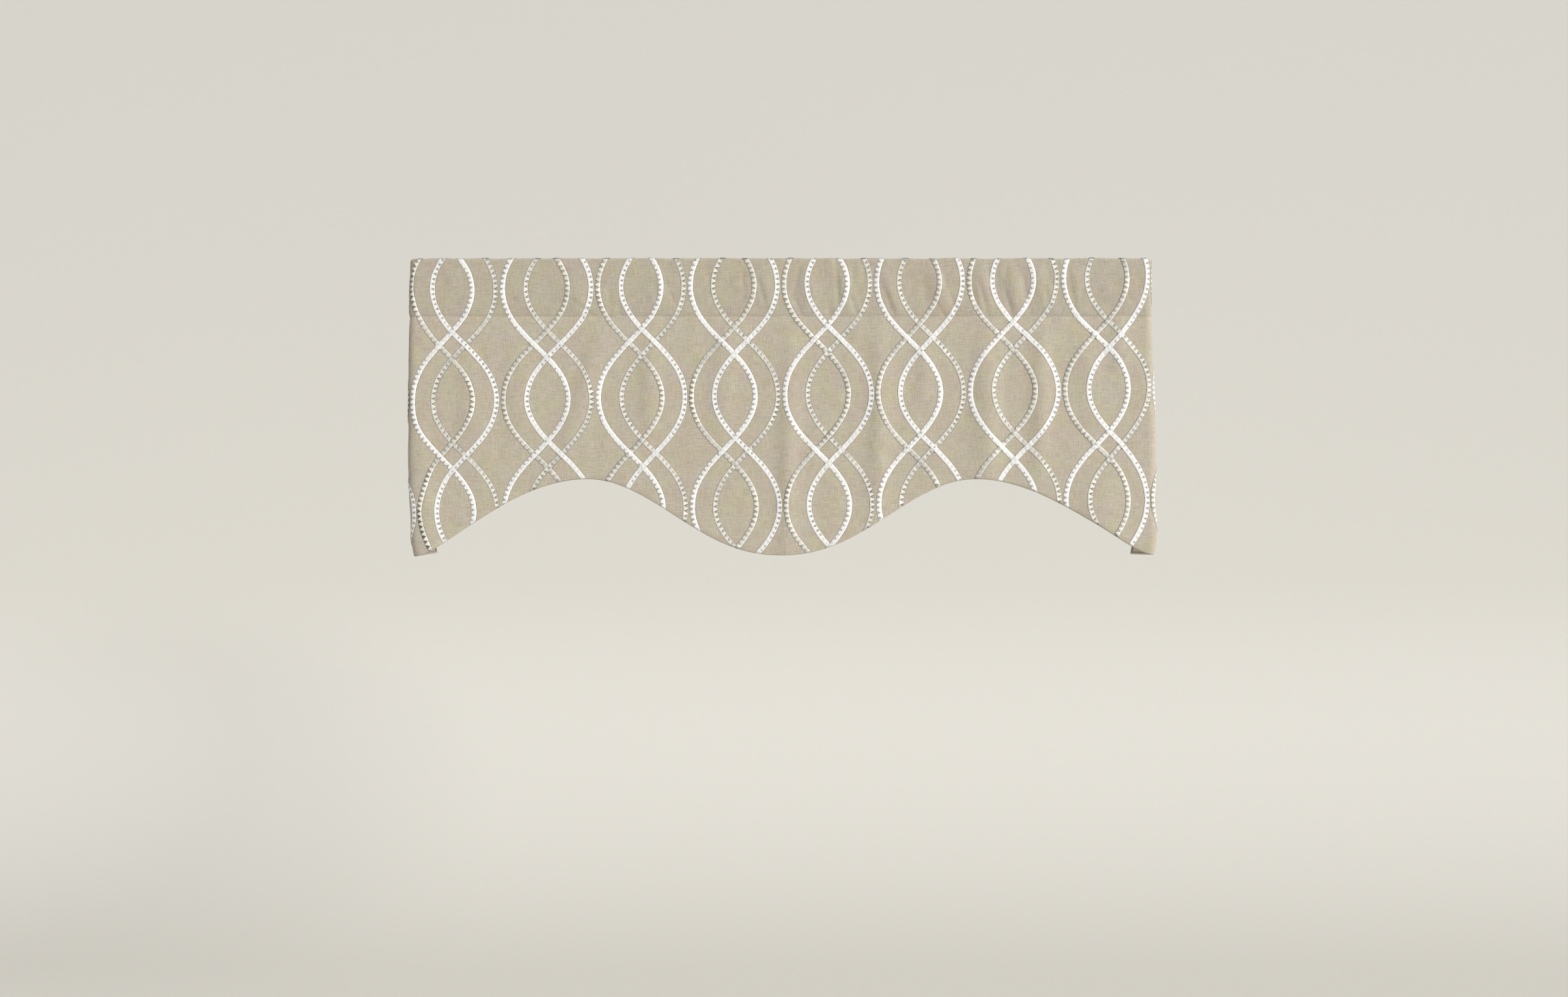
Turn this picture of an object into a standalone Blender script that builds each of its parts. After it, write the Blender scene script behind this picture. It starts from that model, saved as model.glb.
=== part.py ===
"""A lined rod-pocket window valance, hung on a wide flat rod with a return at each end.

The face is one cut of embroidered cloth. It runs from one wall end round both front corners to the
other, rolls over the top of the rod pocket and ends below in a scalloped edge. The lining makes the back
of the pocket, comes forward at the seam under it and follows the face down to the hem. Metres, +Z up, and
the front faces -Y. The origin is the middle of the top edge, halfway through the pocket's depth.

Three numbers place a point of the cloth:
    along  distance round the rod from the centre of the front, + towards +X
    out    distance that the cloth stands out from the rod's centre line
    drop   depth below the top edge
"""

import math
from collections import namedtuple

import bmesh
import bpy
import numpy as np

# The rod pocket and its two returns
POCKET_WIDTH = 1.111  # outside, from corner to corner
POCKET_DEPTH = 0.0134  # outside, from front to back
RETURN_DEPTH = 0.076  # from the pocket's front to the wall
CORNER_RADIUS = 0.015  # outside of the face at each front corner
TOP_RADIUS = 0.004  # the face's roll over the pocket's top edges
TURN_DROP = 0.009  # where the face's turned edge ends behind the pocket
SEAM_DROP = 0.087  # the stitched line under the pocket

# The cloth
FACE_THICKNESS = 0.0012
LINING_THICKNESS = 0.0010
CLOTH_GAP = 0.0005
LINING_SHORT = 0.001  # how far the lining stops above the face's lower edge

# The scalloped lower edge: an arch on each side of a lobe in the middle
HEM_DROP = 0.4415
ARCH_RISE = 0.1130
ARCH_PEAK = 0.2855  # from the centre of the front to each arch's highest point
ARCH_END = 0.5560  # from the centre to where each outer slope ends, on the corner
LOBE_FULLNESS = 1.12  # over 1 widens the middle lobe
END_SLOPE = 0.83  # share of an even half wave that the outer slope has, the rest being its sharp end
END_POWER = 5
LEFT_DIP = 0.0025  # the left corner and return hang this much lower
LEFT_DIP_RUN = 0.160
RIGHT_SAG = 0.0040  # the right return hangs this much lower at the wall

# Rows and columns of cloth between the main sizes
RETURN_COLUMNS = 3
CORNER_COLUMNS = 4
FRONT_COLUMNS = 84
SKIRT_SHARES = (1.0, 0.84, 0.66, 0.47, 0.28, 0.11, 0.0)  # of the way from the seam to the hem
POCKET_DROPS = (0.084, 0.060, 0.030)

# How far the middle of the face's thickness stands out from the rod's centre line
Hang = namedtuple("Hang", "drop out")
HANGS = (
    Hang(0.0046, 0.0061),
    Hang(0.0600, 0.0058),
    Hang(0.0840, 0.0050),
    Hang(0.0870, 0.0042),
    Hang(0.0920, 0.0050),
    Hang(0.1100, 0.0057),
    Hang(0.1600, 0.0066),
    Hang(0.4500, 0.0072),
)

# How much further out each end of the front hangs than the pocket does
Side = namedtuple("Side", "drop left right")
SIDES = (
    Side(0.000, 0.0000, 0.0000),
    Side(0.084, 0.0024, 0.0012),
    Side(0.150, 0.0024, 0.0023),
    Side(0.240, 0.0022, 0.0050),
    Side(0.330, 0.0019, 0.0062),
    Side(0.380, -0.0010, 0.0067),
    Side(0.425, -0.0029, 0.0067),
    Side(0.445, -0.0068, 0.0028),
)

# The lining's back of the pocket, from the seam up
BackPoint = namedtuple("BackPoint", "out drop")
POCKET_BACK = (BackPoint(-0.0022, 0.0790), BackPoint(-0.0061, 0.0680))

# Soft ridges in the hanging cloth, each from its top to its lower end
Fold = namedtuple("Fold", "along_top along_low drop_top drop_low half_width rise")
POCKET_FOLDS = (
    Fold(-0.306, -0.290, 0.040, 0.090, 0.015, 0.0014),
    Fold(-0.188, -0.176, 0.010, 0.090, 0.014, 0.0014),
    Fold(-0.030, -0.012, 0.005, 0.092, 0.013, 0.0017),
    Fold(0.036, 0.050, 0.005, 0.092, 0.013, 0.0018),
    Fold(0.092, 0.098, 0.005, 0.092, 0.013, 0.0018),
    Fold(0.150, 0.172, 0.005, 0.092, 0.013, 0.0020),
    Fold(0.226, 0.246, 0.005, 0.092, 0.013, 0.0018),
    Fold(0.290, 0.308, 0.005, 0.092, 0.013, 0.0022),
    Fold(0.338, 0.352, 0.005, 0.092, 0.012, 0.0022),
    Fold(0.378, 0.400, 0.005, 0.092, 0.013, 0.0020),
    Fold(0.428, 0.446, 0.005, 0.092, 0.014, 0.0016),
)
SKIRT_FOLDS = (
    Fold(-0.532, -0.520, 0.240, 0.480, 0.016, 0.0022),
    Fold(-0.452, -0.456, 0.130, 0.340, 0.022, 0.0016),
    Fold(-0.384, -0.388, 0.110, 0.290, 0.018, 0.0013),
    Fold(-0.252, -0.330, 0.080, 0.320, 0.018, 0.0026),
    Fold(-0.190, -0.194, 0.100, 0.300, 0.016, 0.0019),
    Fold(-0.076, -0.088, 0.080, 0.280, 0.017, 0.0020),
    Fold(0.014, 0.008, 0.070, 0.500, 0.015, 0.0032),
    Fold(0.150, 0.140, 0.070, 0.410, 0.016, 0.0034),
    Fold(0.214, 0.212, 0.100, 0.240, 0.015, 0.0016),
    Fold(0.304, 0.302, 0.070, 0.380, 0.020, 0.0042),
    Fold(0.386, 0.378, 0.070, 0.370, 0.016, 0.0034),
    Fold(0.456, 0.452, 0.095, 0.250, 0.018, 0.0018),
    Fold(0.500, 0.498, 0.070, 0.190, 0.014, 0.0020),
    Fold(0.470, 0.466, 0.290, 0.500, 0.034, 0.0030),
)

# Both cloths' colours, linear
FACE_COLOR = (0.497, 0.445, 0.347, 1.0)
LINING_COLOR = (0.560, 0.500, 0.400, 1.0)
CLOTH_ROUGHNESS = 0.9

# Worked out from the sizes above
POCKET_OUT = (POCKET_DEPTH - FACE_THICKNESS) / 2
TOP_DROP = FACE_THICKNESS / 2
FRONT_HALF = POCKET_WIDTH / 2 - CORNER_RADIUS
BEND_RADIUS = CORNER_RADIUS - POCKET_DEPTH / 2
CORNER_RUN = (BEND_RADIUS + POCKET_OUT) * math.pi / 2
RETURN_RUN = RETURN_DEPTH - CORNER_RADIUS
LINING_STEP = (FACE_THICKNESS + LINING_THICKNESS) / 2 + CLOTH_GAP


def clear_scene():
    for thing in list(bpy.data.objects):
        bpy.data.objects.remove(thing)


def column_places():
    """The along of each column of the cloth, from the left wall end to the right one."""
    half = FRONT_HALF
    corner = half + CORNER_RUN
    end = corner + RETURN_RUN
    outer = np.linspace(end, corner, RETURN_COLUMNS + 1)
    bend = np.linspace(corner, half, CORNER_COLUMNS + 1)
    front = np.linspace(-half, half, FRONT_COLUMNS + 1)
    return np.concatenate([-outer, -bend[1:], front[1:], bend[::-1][1:], outer[::-1][1:]])


def rod_line(along):
    """A point of the rod's centre line in plan, and the outward direction there."""
    side = math.copysign(1.0, along)
    past_front = abs(along) - FRONT_HALF
    if past_front <= 0:
        return along, 0.0, 0.0, -1.0
    turn = min(past_front / CORNER_RUN, 1.0) * math.pi / 2
    past_corner = max(past_front - CORNER_RUN, 0.0)
    across = FRONT_HALF + BEND_RADIUS * math.sin(turn)
    back = BEND_RADIUS * (1 - math.cos(turn)) + past_corner
    return side * across, back, side * math.sin(turn), -math.cos(turn)


def side_spread(along, drop):
    """How far sideways a point moves, because the cloth hangs wider than the pocket."""
    column = "left" if along < 0 else "right"
    spread = np.interp(drop, [row.drop for row in SIDES], [getattr(row, column) for row in SIDES])
    return spread * max(-1.0, min(along / FRONT_HALF, 1.0))


def place(along, out, drop):
    x, y, out_x, out_y = rod_line(along)
    return x + out_x * out + side_spread(along, drop), y + out_y * out, -drop


def fold_rise(folds, along, drop):
    """How far the ridges lift the cloth here."""
    total = 0.0
    for fold in folds:
        share = (drop - fold.drop_top) / (fold.drop_low - fold.drop_top)
        if 0 < share < 1:
            crest = fold.along_top + (fold.along_low - fold.along_top) * share
            across = (along - crest) / fold.half_width
            total += fold.rise * math.sin(math.pi * share) * math.exp(-(across**2))
    return total


def hem_drop(along):
    """The drop of the scalloped lower edge."""
    reach = abs(along)
    if reach < ARCH_PEAK:
        wave = 1 - (reach / ARCH_PEAK) ** LOBE_FULLNESS
    else:
        share = min((reach - ARCH_PEAK) / (ARCH_END - ARCH_PEAK), 1.0)
        wave = END_SLOPE * share + (1 - END_SLOPE) * share**END_POWER
    rise = ARCH_RISE * (1 + math.cos(math.pi * wave)) / 2
    dip = LEFT_DIP * max(0.0, min((-along - ARCH_END) / LEFT_DIP_RUN + 1, 1.0))
    sag = RIGHT_SAG * max(0.0, (along - ARCH_END) / RETURN_RUN)
    return HEM_DROP - rise + dip + sag


def hang_out(along, drop):
    """Out of the face's middle, on the pocket's front or the skirt under it."""
    out = float(np.interp(drop, [row.drop for row in HANGS], [row.out for row in HANGS]))
    folds = POCKET_FOLDS if drop < SEAM_DROP else SKIRT_FOLDS
    return out + fold_rise(folds, along, drop)


def skirt_drops(lower):
    return [SEAM_DROP + (lower - SEAM_DROP) * share for share in SKIRT_SHARES]


def top_roll():
    """(out, drop) of the face over the top of the pocket, from the front to the turned edge behind."""
    flat = POCKET_OUT - TOP_RADIUS
    slant = TOP_RADIUS * math.sqrt(0.5)
    centre = TOP_DROP + TOP_RADIUS
    front = [(POCKET_OUT, centre), (flat + slant, centre - slant), (flat, TOP_DROP)]
    behind = [(-out, drop) for out, drop in reversed(front)]
    return front + behind + [(-POCKET_OUT, TURN_DROP)]


def face_section(along):
    """(out, drop) of the face from its lower edge up the front and over the top."""
    drops = skirt_drops(hem_drop(along)) + list(POCKET_DROPS)
    return [(hang_out(along, drop), drop) for drop in drops] + top_roll()


def lining_section(along):
    """(out, drop) of the lining from its lower edge up to the face's turned edge."""
    drops = skirt_drops(hem_drop(along) - LINING_SHORT)
    front = [(hang_out(along, drop) - LINING_STEP, drop) for drop in drops]
    return front + list(POCKET_BACK) + [(-POCKET_OUT, TURN_DROP + CLOTH_GAP)]


def cloth_material(name, color):
    material = bpy.data.materials.new(name)
    material.use_nodes = True
    shader = material.node_tree.nodes["Principled BSDF"]
    shader.inputs["Base Color"].default_value = color
    shader.inputs["Roughness"].default_value = CLOTH_ROUGHNESS
    shader.inputs["Metallic"].default_value = 0.0
    return material


def make_sheet(name, section, thickness, color, collection):
    """A grid of cloth bent to the section at each column, and given its thickness."""
    columns = column_places()
    sections = [section(along) for along in columns]
    last_column = len(columns) - 1
    last_row = len(sections[0]) - 1
    sheet = bmesh.new()
    bmesh.ops.create_grid(sheet, x_segments=last_column, y_segments=last_row, size=0.5)
    for vertex in sheet.verts:
        column = round((vertex.co.x + 0.5) * last_column)
        row = round((vertex.co.y + 0.5) * last_row)
        vertex.co = place(columns[column], *sections[column][row])
    mesh = bpy.data.meshes.new(name)
    sheet.to_mesh(mesh)
    sheet.free()
    mesh.shade_smooth()
    mesh.materials.append(cloth_material(name, color))
    cloth = bpy.data.objects.new(name, mesh)
    collection.objects.link(cloth)
    solidify = cloth.modifiers.new("Thickness", "SOLIDIFY")
    solidify.thickness = thickness
    solidify.offset = 0.0
    solidify.use_even_offset = True
    solidify.use_quality_normals = True


def main():
    clear_scene()
    collection = bpy.data.collections.new("Window valance")
    bpy.context.scene.collection.children.link(collection)
    make_sheet("face_panel", face_section, FACE_THICKNESS, FACE_COLOR, collection)
    make_sheet("lining", lining_section, LINING_THICKNESS, LINING_COLOR, collection)


main()
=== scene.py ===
"""The looks of a lined rod-pocket window valance, hung with a return at each end.

The face is linen-look cloth, embroidered with interlaced ogees in satin stitch. Metres, +Z up, the front
faces -Y, and the origin is the middle of the top edge. These numbers place a point of the cloth:
    along  distance round the rod from the centre of the front, + towards +X
    down   distance down the cloth's front, which goes on over the top roll and under the hem
    out    distance that the cloth stands out from the rod's centre line
    drop   depth below the top edge
"""

import math
from collections import namedtuple

import bmesh
import bpy
import numpy as np
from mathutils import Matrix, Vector


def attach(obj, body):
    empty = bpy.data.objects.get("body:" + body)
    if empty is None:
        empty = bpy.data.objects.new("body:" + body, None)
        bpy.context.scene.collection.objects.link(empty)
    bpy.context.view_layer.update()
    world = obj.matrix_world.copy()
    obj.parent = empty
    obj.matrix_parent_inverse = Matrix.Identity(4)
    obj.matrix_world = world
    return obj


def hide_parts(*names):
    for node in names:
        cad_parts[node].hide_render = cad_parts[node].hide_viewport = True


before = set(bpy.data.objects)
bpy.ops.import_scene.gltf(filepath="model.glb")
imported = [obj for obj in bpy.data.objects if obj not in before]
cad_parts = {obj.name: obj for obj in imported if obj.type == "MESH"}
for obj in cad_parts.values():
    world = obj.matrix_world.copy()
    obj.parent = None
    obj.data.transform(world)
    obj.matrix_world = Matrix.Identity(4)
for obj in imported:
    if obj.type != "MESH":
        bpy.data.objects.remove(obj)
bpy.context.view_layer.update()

MM = 0.001
TAU = 2 * math.pi

# ---- Sizes of the hung valance, as its solids have them ----

POCKET_WIDTH = 1.111
POCKET_DEPTH = 0.0134
RETURN_DEPTH = 0.076
CORNER_RADIUS = 0.015
TOP_RADIUS = 0.004
TURN_DROP = 0.009
SEAM_DROP = 0.087
SOLID_THICKNESS = 0.0012
LINING_STEP = 0.0016

HEM_DROP = 0.4415
ARCH_RISE = 0.1130
ARCH_PEAK = 0.2855
ARCH_END = 0.5560
LOBE_FULLNESS = 1.12
END_SLOPE = 0.83
END_POWER = 5
LEFT_DIP = 0.0025
LEFT_DIP_RUN = 0.160
RIGHT_SAG = 0.0040

Hang = namedtuple("Hang", "drop out")
HANGS = (
    Hang(0.0046, 0.0061),
    Hang(0.0300, 0.0060),
    Hang(0.0600, 0.0058),
    Hang(0.0790, 0.0054),
    Hang(0.0845, 0.0049),
    Hang(0.0870, 0.0042),
    Hang(0.0895, 0.0046),
    Hang(0.0940, 0.0051),
    Hang(0.1100, 0.0057),
    Hang(0.1600, 0.0066),
    Hang(0.3000, 0.0069),
    Hang(0.4500, 0.0072),
)

Side = namedtuple("Side", "drop left right")
SIDES = (
    Side(0.000, 0.0000, 0.0000),
    Side(0.084, 0.0024, 0.0012),
    Side(0.150, 0.0024, 0.0023),
    Side(0.240, 0.0022, 0.0050),
    Side(0.330, 0.0019, 0.0062),
    Side(0.380, -0.0010, 0.0067),
    Side(0.425, -0.0029, 0.0067),
    Side(0.445, -0.0068, 0.0028),
)

# Soft ridges, each from its top to its lower end
Fold = namedtuple("Fold", "along_top along_low drop_top drop_low half_width rise")
POCKET_FOLDS = (
    Fold(-0.306, -0.290, 0.040, 0.090, 0.015, 0.0014),
    Fold(-0.188, -0.176, 0.010, 0.090, 0.014, 0.0014),
    Fold(-0.030, -0.012, 0.005, 0.092, 0.013, 0.0017),
    Fold(0.036, 0.050, 0.005, 0.092, 0.013, 0.0018),
    Fold(0.092, 0.098, 0.005, 0.092, 0.013, 0.0018),
    Fold(0.150, 0.172, 0.005, 0.092, 0.013, 0.0020),
    Fold(0.226, 0.246, 0.005, 0.092, 0.013, 0.0018),
    Fold(0.290, 0.308, 0.005, 0.092, 0.013, 0.0022),
    Fold(0.338, 0.352, 0.005, 0.092, 0.012, 0.0022),
    Fold(0.378, 0.400, 0.005, 0.092, 0.013, 0.0020),
    Fold(0.428, 0.446, 0.005, 0.092, 0.014, 0.0016),
)
SKIRT_FOLDS = (
    Fold(-0.532, -0.520, 0.240, 0.480, 0.016, 0.0022),
    Fold(-0.452, -0.456, 0.130, 0.340, 0.022, 0.0016),
    Fold(-0.384, -0.388, 0.110, 0.290, 0.018, 0.0013),
    Fold(-0.252, -0.330, 0.080, 0.320, 0.018, 0.0026),
    Fold(-0.190, -0.194, 0.100, 0.300, 0.016, 0.0019),
    Fold(-0.076, -0.088, 0.080, 0.280, 0.017, 0.0020),
    Fold(0.014, 0.008, 0.070, 0.500, 0.015, 0.0032),
    Fold(0.150, 0.140, 0.070, 0.410, 0.016, 0.0034),
    Fold(0.214, 0.212, 0.100, 0.240, 0.015, 0.0016),
    Fold(0.304, 0.302, 0.070, 0.380, 0.020, 0.0042),
    Fold(0.386, 0.378, 0.070, 0.370, 0.016, 0.0034),
    Fold(0.456, 0.452, 0.095, 0.250, 0.018, 0.0018),
    Fold(0.500, 0.498, 0.070, 0.190, 0.014, 0.0020),
    Fold(0.470, 0.466, 0.290, 0.500, 0.034, 0.0030),
)

# Creases where the pocket's cloth is gathered a little by its seam. A negative rise is a trough.
CREASES = (
    Fold(-0.315, -0.268, 0.058, 0.094, 0.0035, -0.0009),
    Fold(-0.256, -0.252, 0.040, 0.078, 0.0035, -0.0006),
    Fold(-0.240, -0.236, 0.066, 0.098, 0.0055, -0.0008),
    Fold(-0.188, -0.182, 0.024, 0.078, 0.0040, -0.0006),
    Fold(-0.170, -0.152, 0.038, 0.080, 0.0035, -0.0007),
    Fold(-0.109, -0.103, 0.014, 0.064, 0.0035, -0.0006),
    Fold(-0.057, -0.054, 0.008, 0.074, 0.0035, -0.0007),
    Fold(-0.038, -0.018, 0.014, 0.088, 0.0035, -0.0009),
    Fold(0.031, 0.016, 0.004, 0.060, 0.0035, -0.0009),
    Fold(0.015, 0.036, 0.050, 0.096, 0.0035, -0.0009),
    Fold(0.039, 0.046, 0.038, 0.082, 0.0035, -0.0007),
    Fold(0.071, 0.074, 0.062, 0.098, 0.0035, -0.0008),
    Fold(0.082, 0.087, 0.004, 0.084, 0.0035, -0.0012),
    Fold(0.100, 0.116, 0.048, 0.094, 0.0035, -0.0009),
    Fold(0.108, 0.105, 0.003, 0.048, 0.0035, -0.0007),
    Fold(0.124, 0.122, 0.004, 0.044, 0.0035, -0.0005),
    Fold(0.148, 0.172, 0.034, 0.096, 0.0038, -0.0013),
    Fold(0.211, 0.216, 0.020, 0.080, 0.0060, -0.0006),
    Fold(0.226, 0.249, 0.062, 0.096, 0.0035, -0.0009),
    Fold(0.240, 0.247, 0.003, 0.058, 0.0035, -0.0008),
    Fold(0.250, 0.262, 0.046, 0.094, 0.0038, -0.0009),
    Fold(0.282, 0.294, 0.042, 0.094, 0.0038, -0.0009),
    Fold(0.292, 0.309, 0.028, 0.094, 0.0038, -0.0013),
    Fold(0.306, 0.312, 0.003, 0.048, 0.0035, -0.0007),
    Fold(0.319, 0.321, 0.003, 0.052, 0.0035, -0.0007),
    Fold(0.330, 0.346, 0.042, 0.094, 0.0038, -0.0013),
    Fold(0.335, 0.334, 0.003, 0.036, 0.0035, -0.0007),
    Fold(0.356, 0.369, 0.008, 0.088, 0.0042, -0.0009),
    Fold(0.387, 0.401, 0.026, 0.088, 0.0042, -0.0010),
    Fold(0.392, 0.400, 0.003, 0.042, 0.0035, -0.0007),
    Fold(0.424, 0.438, 0.003, 0.088, 0.0045, -0.0009),
    Fold(0.445, 0.446, 0.040, 0.080, 0.0035, -0.0006),
    Fold(0.511, 0.523, 0.048, 0.072, 0.0040, -0.0006),
)

# ---- The two cloths ----

FACE_THICKNESS = 0.0010
LINING_THICKNESS = 0.0007
SEAM_SOFT = 0.0012  # how far above and below the seam the pocket's folds and the skirt's run together
HEM_ROLL = 0.00135  # radius of the face's turned lower and side edges
HEM_TURN = 0.0008  # how far the turned lower edge goes back up
SIDE_TURN = 0.0016
FLAP_TUCK = 0.0013  # how far the lining lies inside the face's turned edge behind the pocket
FLAP_FADE = 0.0040  # how far below that edge the lining is back in its own plane
LINING_TOP = 0.0050
LINING_SHORT = 0.0002  # how far the lining ends above where the hem begins to turn
LINING_SIDE = 0.0016  # how far the lining ends from the wall
LINING_FORWARD = (0.064, 0.086)  # the drops between which it comes forward from the pocket's back
SEED = 11

# Uneven waves: the shortest and longest, how many are added, and their height
Waves = namedtuple("Waves", "shortest longest count height")
FACE_WAVES = Waves(0.025, 0.080, 40, 0.00014)
TOP_WAVES = Waves(0.030, 0.120, 9, 0.0004)
LINING_WAVES = Waves(0.040, 0.140, 24, 0.00025)
TOP_WAVE_END = (0.004, 0.020)  # the drops between which the top edge's waves fade out

# Steps of each cloth's grid: over half the front, round a corner, along a return, and down the skirt
Grid = namedtuple("Grid", "front corner side skirt")
FACE_GRID = Grid(212, 7, 15, 42)
LINING_GRID = Grid(118, 5, 10, 44)
POCKET_STEPS = 25
POCKET_BACK_STEPS = 24
SEAM_STEPS = 10
SEAM_BAND = (0.004, 0.006)  # how far above and below the seam its finer steps reach
TOP_ROLL_STEPS = 5
EDGE_ROLL_STEPS = 6
FLAT_STEPS = 2

# ---- The embroidery: interlaced ogees, four strands to a column ----

COLUMN_PITCH = 0.1386
FIRST_CENTRE = -4.5 * COLUMN_PITCH
COLUMNS = 10
STRAND_OFFSET = 0.0185
STRAND_SWING = 0.0484
SWING_SECOND = 0.0013
SWING_THIRD = 0.0010
STRAND_PERIOD = 0.3287
MIDDLE_DROP = 0.2044
ROW_SLOPE = 0.0176
FIRST_ANGLE = -1.45 * math.pi
LAST_ANGLE = 1.70 * math.pi
LINE_POINTS = 1500

# The pattern hangs a little askew: how far it lies to +X across the front, and its lean per metre of drop
Shift = namedtuple("Shift", "x amount")
SHIFTS = (
    Shift(-0.48, -0.0021),
    Shift(-0.36, 0.0004),
    Shift(-0.24, 0.0024),
    Shift(-0.12, 0.0010),
    Shift(0.00, 0.0012),
    Shift(0.12, 0.0005),
    Shift(0.24, -0.0012),
    Shift(0.36, -0.0006),
    Shift(0.48, 0.0018),
)
LEAN = 0.0098
LEAN_LEVEL = 0.200

# How far the pattern is drawn in towards the centre near the two sides
Drift = namedtuple("Drift", "drop left right")
DRIFTS = (
    Drift(0.000, 0.0016, 0.0040),
    Drift(0.080, 0.0065, 0.0068),
    Drift(0.150, 0.0044, 0.0040),
    Drift(0.215, 0.0062, 0.0066),
    Drift(0.265, 0.0030, 0.0082),
    Drift(0.300, 0.0070, 0.0098),
    Drift(0.335, 0.0165, 0.0110),
    Drift(0.375, 0.0163, 0.0106),
    Drift(0.415, 0.0168, 0.0098),
    Drift(0.450, 0.0145, 0.0090),
)
DRIFT_START = 0.480
DRIFT_FULL = 0.565

STRAND_WIDTH = 0.0072
WEDGE_PITCH = 0.0077
WEDGE_STEPS = 6
UNEVEN_RUNG = 0.00012

# How high a wedge lies on the cloth: at its middle, along its sides, at its base, and at its base's foot
PAD_TOP = 0.00072
PAD_RUNG = 0.00045
PAD_EDGE = 0.00030
PAD_FOOT = -0.00015
FOOT_WIDTH = 0.00100
SIDE_ROUND = 0.0017  # how far in from its sides, and from its base, a wedge's middle rounds off
BASE_ROUND = 0.0016
EDGE_ROUND = 0.0009
BULGE = 0.00015  # how far the bright wedges' bases bulge
BASE_MARGIN = 0.0004  # how much nearer to its base than to its sides a wedge's painted dark core comes
END_FADE = 0.0016  # how far from their ends the strands grow thinner

# Where a strand lies over another: how much higher, how far to each side of the crossing, and its slope
LAYER_LIFT = 0.00060
LIFT_FLAT = 0.0044
LIFT_RAMP = 0.0045
SMALLEST_AREA = 1e-10  # triangles that are smaller on the flat cloth are left out

# ---- Stitches of the seams ----

STITCH_PITCH = 0.0031
STITCH_LENGTH = 0.0026
STITCH_WIDTH = 0.00045
STITCH_HEIGHT = 0.00050
STITCH_SEGMENTS = 6
STITCH_RINGS = 4
STITCHES_END = 0.0040  # how far from the side edges the rows of stitches end
FLAP_STITCH = 0.0016  # how far from the flap's edge its stitches lie

# ---- Satin thread; its colours, and all others here, are linear ----

# Its colour with painted sheen in every second wedge, painted duller in the others, and painted shade at
# their cores
Dye = namedtuple("Dye", "bright dull core")
# Each is the thread's own dye, painted bright, dull and shaded as the light falls on satin
WHITE_DYE_SHEEN_SHADE = Dye((0.96, 0.955, 0.93), (0.90, 0.895, 0.865), (0.23, 0.215, 0.19))
SILVER_DYE_SHEEN_SHADE = Dye((0.84, 0.82, 0.75), (0.53, 0.505, 0.43), (0.10, 0.088, 0.068))

# The size of its cores of painted shade where it runs straight down, how uneven it is, how much of the
# cores' painted shade reaches away from the wedge above, how hollow the dull wedges' bases are, and how much
# painted shade it has at its ends
Thread = namedtuple("Thread", "dye core_size uneven reach hollow end_shade roughness")
WHITE = Thread(WHITE_DYE_SHEEN_SHADE, 0.74, 0.01, 0.75, 0.0003, 0.45, 0.42)
SILVER = Thread(SILVER_DYE_SHEEN_SHADE, 0.95, 0.05, 0.15, 0.0008, 0.75, 0.38)
BRIGHT_SHARE = 0.62  # how near the colour between both kinds of wedge is to the bright one
# Painted shadow along each strand's outer sides, where it meets the cloth
PAINTED_OUTLINE_SHADOW = (0.150, 0.128, 0.092)
THREAD_PITCH = 0.42  # in millimetres, like all that the satin's material measures
THREAD_TONE = 0.03

# The share of its run that goes sideways where a strand begins to slant, and where it fully does. Slanting
# makes its painted sheen duller and more even, with smaller cores of painted shade. Running down to the left
# makes it duller still, with painted cores that are a little larger.
SLANTING = (0.20, 0.70)
RIGHTWARD = (0.0, 0.30)
SLANT_DULL = 0.04
LEFT_DULL = 0.08
SLANT_EVEN = 0.45
SLANT_CORE = 0.66
LEFT_CORE = 0.08

# How its contrast, brightness and cores wander: over what run, and how far
Wander = namedtuple("Wander", "run amount")
CONTRAST_WANDER = Wander(0.035, 0.25)
LEVEL_WANDER = Wander(0.030, 1.0)
CORE_WANDER = Wander(0.030, 0.18)
CORE_UNEVEN = 0.1
SMALLEST_CORE = 0.05

# Where the dull wedges' painted shade begins and is darkest: towards the left low down, and at the left side
LOW_LEFT = (0.44, 0.53)
LOW_DROP = (0.205, 0.255)
FAR_LEFT = (0.515, 0.545)
LEFT_CORES = 0.6  # how much their cores of painted shade grow there

# Where a strand's painted shade begins as it goes over the top edge, where it is light again, and where the
# hem's painted shade is
TOP_DARK = (-0.0050, -0.0020)
TOP_LIGHT = (0.0012, 0.0042)
HEM_DARK = (-0.0030, 0.0005)
HEM_SHARE = 0.5

# A dull wedge's core of painted shade, in millimetres in from its edges: where it begins, where it is full,
# how dark it is, and how far from the wedge above its painted shade starts to weaken and is weakest
CORE_GROWTH = 0.75
CORE_INSIDE = (1.10, 1.65)
CORE_DEPTH = 0.92
CORE_SHADOW = (0.8, 2.6)
CORE_FILLED = (1.0, 1.5)  # the core sizes from which its painted shade fills all of it
CORE_MASK = 0.2  # the core size from which it shows in full; bright wedges have a core of 0
OUTLINE_EDGE = 0.3  # how far down a wedge's outer side its painted outline shadow is full

# ---- The weaves ----

# The last column is how much painted shade darkens the pocket above the seam
Weave = namedtuple("Weave", "colour pitch slub roughness sheen pocket_tone")
LINEN = Weave((0.497, 0.445, 0.347), 0.00062, 0.50, 0.85, 0.2, 0.945)
SATEEN = Weave((0.560, 0.500, 0.400), 0.0003, 0.08, 0.7, 0.1, 1.0)
POCKET_EDGE = 0.0010  # how softly the pocket's darker painted shade ends at the seam
WEAVE_TONE = 0.05
WEAVE_HEIGHT = 0.15
YARN_BEND = 0.8
YARN_BEND_SCALE = 90.0

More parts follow.
